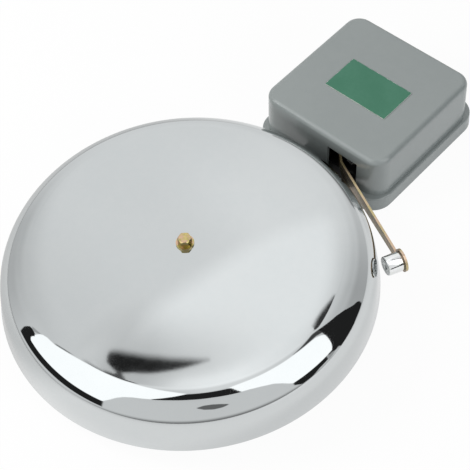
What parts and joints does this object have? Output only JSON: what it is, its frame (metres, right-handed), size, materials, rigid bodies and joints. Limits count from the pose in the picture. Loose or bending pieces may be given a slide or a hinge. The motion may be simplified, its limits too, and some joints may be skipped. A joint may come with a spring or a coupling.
{
  "type": "electric wall bell",
  "caption": "Electric wall bell: shallow chromed gong on a central post, grey box with an electromagnet, contact breaker and pivoted striker arm.",
  "frame": {"origin": "on the wall plane (the back of the base) under the gong's axis", "axes": "+Z out of the wall along the gong's axis, +Y from the gong to the mechanism box, +X the side that the striker arm reaches round"},
  "size_m": [0.25, 0.3708, 0.0603],
  "materials": {
    "grey_paint": "satin grey paint",
    "chrome_plate": "bright chrome plating",
    "zinc_steel": "bright zinc plating",
    "yellow_zinc": "yellow passivated zinc",
    "black_steel": "black enamelled steel",
    "soft_iron": "machined soft iron",
    "spring_steel": "bright spring steel wire",
    "brass": "machined brass",
    "contact_silver": "silver contact",
    "copper_wire": "enamelled copper wire, wound close",
    "black_moulding": "black moulded plastic",
    "acetal": "natural acetal",
    "fibre_sheet": "red-brown fibre sheet",
    "pale_moulding": "pale moulded plastic",
    "black_rubber": "moulded rubber",
    "green_label": "plain green plate with a thin pale edge",
    "red_sleeve": "red insulated wire",
    "black_sleeve": "black insulated wire"
  },
  "bodies": {
    "base": {"base_plate": "grey_paint", "bracket_screws": "zinc_steel", "cable_grommet": "black_rubber", "coil_bobbin_left": "black_moulding", "coil_bobbin_right": "black_moulding", "coil_link": "black_sleeve", "coil_winding_left": "copper_wire", "coil_winding_right": "copper_wire", "contact_insulator": "fibre_sheet", "contact_lead": "red_sleeve", "contact_lock_nut": "brass", "contact_post": "brass", "contact_post_screws": "brass", "contact_screw": "brass", "core_screws": "zinc_steel", "earth_screw": "zinc_steel", "earth_washer": "zinc_steel", "frame_lead": "black_sleeve", "frame_screws": "zinc_steel", "gong": "chrome_plate", "gong_bolt": "yellow_zinc", "gong_flat_washer": "yellow_zinc", "gong_post": "zinc_steel", "gong_seat_washer": "black_rubber", "gong_spring_washer": "yellow_zinc", "magnet_core_left": "soft_iron", "magnet_core_right": "soft_iron", "magnet_yoke": "soft_iron", "mechanism_frame": "black_steel", "pivot_clip": "zinc_steel", "pivot_pin": "zinc_steel", "pivot_spacers": "acetal", "return_spring": "spring_steel", "spring_adjuster_nut": "zinc_steel", "spring_anchor": "zinc_steel", "spring_eye_screw": "zinc_steel", "supply_lead": "red_sleeve", "terminal_block": "pale_moulding", "terminal_fixing_screw": "zinc_steel", "terminal_inserts": "brass", "terminal_screws": "brass"},
    "striker": {"armature_carrier": "zinc_steel", "armature_plate": "soft_iron", "armature_rivets": "zinc_steel", "contact_spring": "brass", "contact_spring_rivet": "brass", "moving_contact": "contact_silver", "striker_arm": "yellow_zinc", "arm_rivets": "zinc_steel", "striker_hammer": "zinc_steel", "hammer_rivet": "zinc_steel"},
    "cover": {"mechanism_cover": "grey_paint", "nameplate_label": "green_label"}
  },
  "joints": [
    {"name": "armature_pivot", "type": "hinge", "parent": "base", "child": "striker", "pos_m": [0.01797, 0.14804, 0.027], "axis": [0, 0, 1], "range_deg": [-0.85, 0], "stiffness_Nm_per_rad": 0.3, "springref_deg": 5.73, "deforming": ["return_spring"]},
    {"name": "cover_lift", "type": "slide", "parent": "base", "child": "cover", "axis": [0, 0, 1], "range_m": [0, 0.06]}
  ]
}
